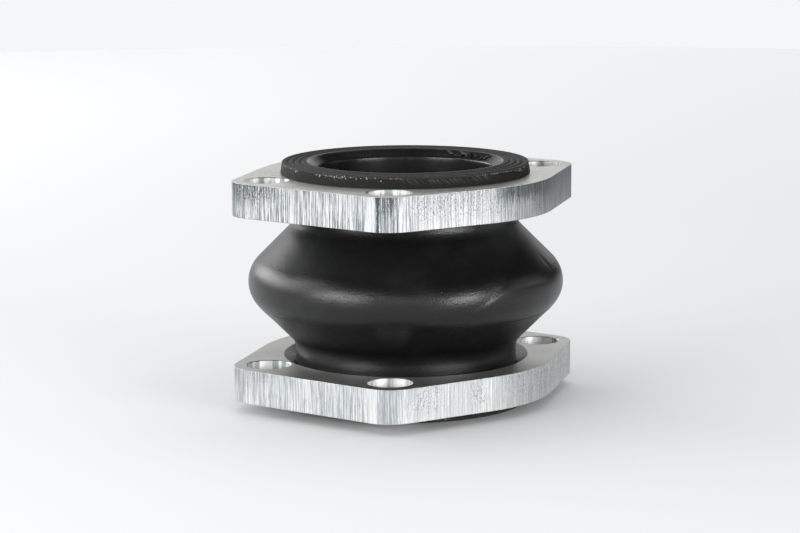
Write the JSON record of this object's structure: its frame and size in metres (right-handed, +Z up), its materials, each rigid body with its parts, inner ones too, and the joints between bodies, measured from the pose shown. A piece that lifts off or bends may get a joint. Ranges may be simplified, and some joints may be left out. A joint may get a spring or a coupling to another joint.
{
  "type": "rubber expansion joint",
  "caption": "Short rubber bellows with one arch, grooved sealing collars and a loose rectangular bolting flange at each end, to take up pipe movement and vibration.",
  "frame": {"origin": "centre of the lower sealing face, on the bore's axis, which is also the middle of the bounding box's base", "axes": "+Z up the bore towards the other sealing face, +X along the flanges' longer bolt spacing"},
  "size_m": [0.1346, 0.1314, 0.1],
  "materials": {
    "zinc_plated_steel": "satin zinc plating, with sawn edges",
    "cover_rubber": "satin moulded rubber",
    "liner_rubber": "satin moulded rubber, with turned grooves on the sealing faces",
    "cord_plies": "matt rubberised nylon cord",
    "bead_steel": "drawn wire"
  },
  "bodies": {
    "lower_end": {"lower_collar": "cover_rubber", "lower_collar_plies": "cord_plies", "lower_bead_ring": "bead_steel", "lower_seal_face": "liner_rubber"},
    "lower_root": {"lower_root_cover": "cover_rubber", "lower_root_plies": "cord_plies", "lower_root_liner": "liner_rubber"},
    "lower_flank": {"lower_flank_cover": "cover_rubber", "lower_flank_plies": "cord_plies", "lower_flank_liner": "liner_rubber"},
    "crown": {"crown_cover": "cover_rubber", "crown_plies": "cord_plies", "crown_liner": "liner_rubber"},
    "upper_flank": {"upper_flank_cover": "cover_rubber", "upper_flank_plies": "cord_plies", "upper_flank_liner": "liner_rubber"},
    "upper_end": {"upper_root_cover": "cover_rubber", "upper_root_plies": "cord_plies", "upper_root_liner": "liner_rubber", "upper_collar": "cover_rubber", "upper_collar_plies": "cord_plies", "upper_bead_ring": "bead_steel", "upper_seal_face": "liner_rubber"},
    "lower_flange": {"lower_flange": "zinc_plated_steel"},
    "upper_flange": {"upper_flange": "zinc_plated_steel"}
  },
  "joints": [
    {"name": "tilt_x", "type": "hinge", "parent": "lower_end", "child": "lower_root", "pos_m": [0, 0, 0.05], "axis": [1, 0, 0], "range_deg": [-7, 7], "stiffness_Nm_per_rad": 80, "deforming": ["lower_root_cover", "lower_root_plies", "lower_root_liner"]},
    {"name": "lateral_x", "type": "slide", "parent": "lower_root", "child": "lower_flank", "axis": [1, 0, 0], "range_m": [-0.006, 0.006], "stiffness_N_per_m": 60000},
    {"name": "axial", "type": "slide", "parent": "lower_flank", "child": "crown", "axis": [0, 0, 1], "range_m": [-0.01, 0.006], "stiffness_N_per_m": 80000, "deforming": ["crown_cover", "crown_plies", "crown_liner"]},
    {"name": "lateral_y", "type": "slide", "parent": "crown", "child": "upper_flank", "axis": [0, 1, 0], "range_m": [-0.006, 0.006], "stiffness_N_per_m": 60000},
    {"name": "tilt_y", "type": "hinge", "parent": "upper_flank", "child": "upper_end", "pos_m": [0, 0, 0.05], "axis": [0, 1, 0], "range_deg": [-7, 7], "stiffness_Nm_per_rad": 80, "deforming": ["upper_root_cover", "upper_root_plies", "upper_root_liner"]},
    {"name": "lower_flange_swivel", "type": "hinge", "parent": "lower_end", "child": "lower_flange", "pos_m": [0, 0, 0.0119], "axis": [0, 0, 1], "continuous": true},
    {"name": "upper_flange_swivel", "type": "hinge", "parent": "upper_end", "child": "upper_flange", "pos_m": [0, 0, 0.0881], "axis": [0, 0, 1], "continuous": true}
  ]
}
